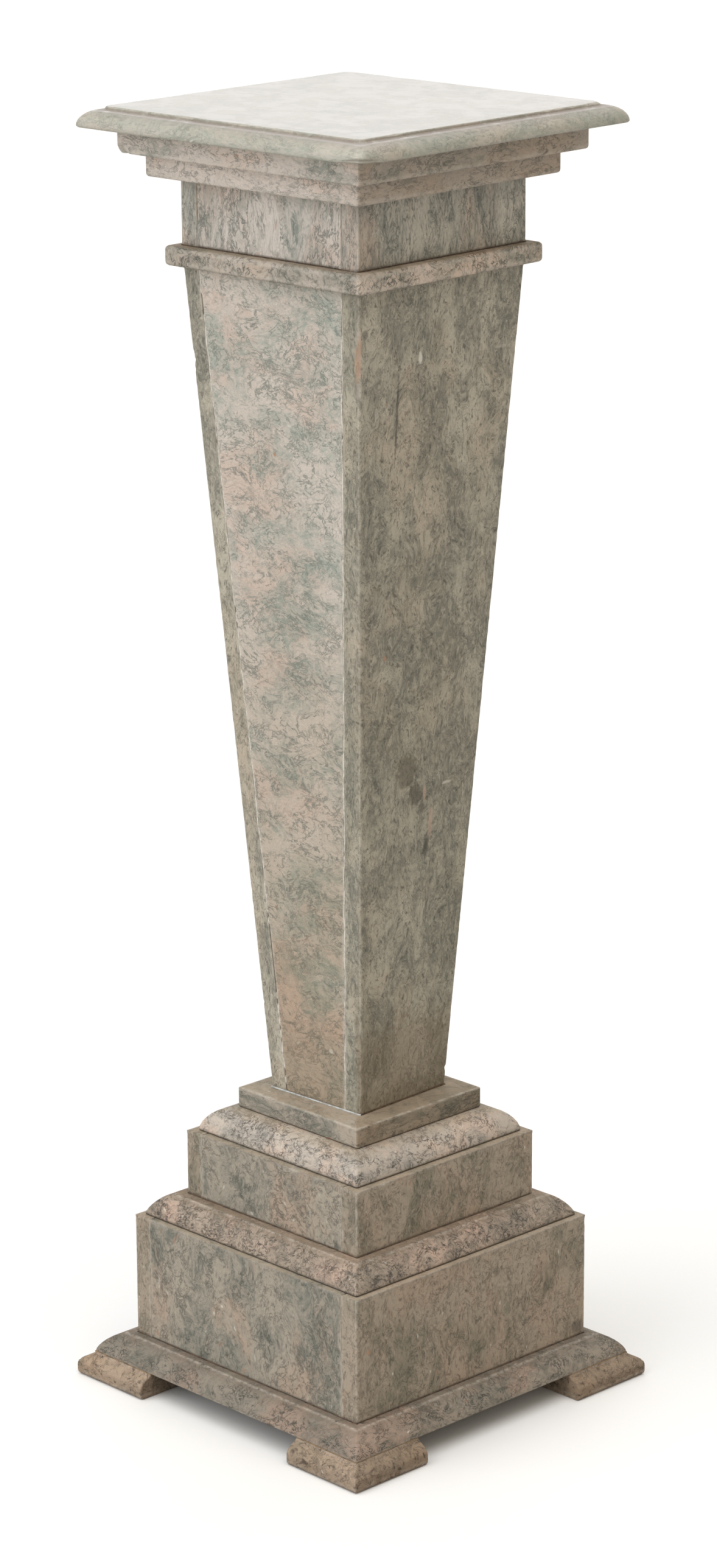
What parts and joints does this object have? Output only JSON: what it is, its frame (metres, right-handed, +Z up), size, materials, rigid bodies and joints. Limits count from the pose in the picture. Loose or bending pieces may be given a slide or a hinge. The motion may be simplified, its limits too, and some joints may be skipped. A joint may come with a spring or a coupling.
{
  "type": "marble pedestal",
  "caption": "Square marble pedestal with corner feet, a stepped moulded base, a hollow shaft that widens upwards, a neck band and a stepped cap with a flat top for a bust or vase.",
  "frame": {"origin": "on the floor, at the middle of the four feet", "axes": "+Z up along the shaft; -Y is the front, whose slabs are set between the side slabs; +X is the right side"},
  "size_m": [0.355, 0.355, 1.12],
  "materials": {
    "pale_marble": "honed, pale grey-green with faint clouds",
    "pink_marble": "honed, pinkish beige with grey-green clouds and fine dark veins",
    "streaked_marble": "honed, beige with upright grey-green streaks",
    "olive_marble": "honed, olive grey-brown with upright streaks and oily stains",
    "green_marble": "honed, grey-green with squiggling dark veins",
    "worn_marble": "rough and worn, brown beige with small chips",
    "grout": "chalky white filler in the joints"
  },
  "bodies": {
    "root": {"cap_slab": "pale_marble", "upper_corbel_slab": "pink_marble", "lower_corbel_slab": "pink_marble", "neck_band": "pink_marble", "shaft_base_slab": "green_marble", "upper_base_moulding": "pink_marble", "lower_base_moulding": "pink_marble", "plinth_slab": "green_marble", "frieze_front": "streaked_marble", "frieze_back": "streaked_marble", "frieze_left": "streaked_marble", "frieze_right": "streaked_marble", "shaft_front": "pink_marble", "shaft_back": "pink_marble", "shaft_left": "olive_marble", "shaft_right": "olive_marble", "upper_dado_front": "green_marble", "upper_dado_back": "green_marble", "upper_dado_left": "pink_marble", "upper_dado_right": "pink_marble", "lower_dado_front": "green_marble", "lower_dado_back": "green_marble", "lower_dado_left": "olive_marble", "lower_dado_right": "olive_marble", "foot_front_left": "worn_marble", "foot_front_right": "worn_marble", "foot_back_left": "worn_marble", "foot_back_right": "worn_marble"}
  },
  "joints": []
}
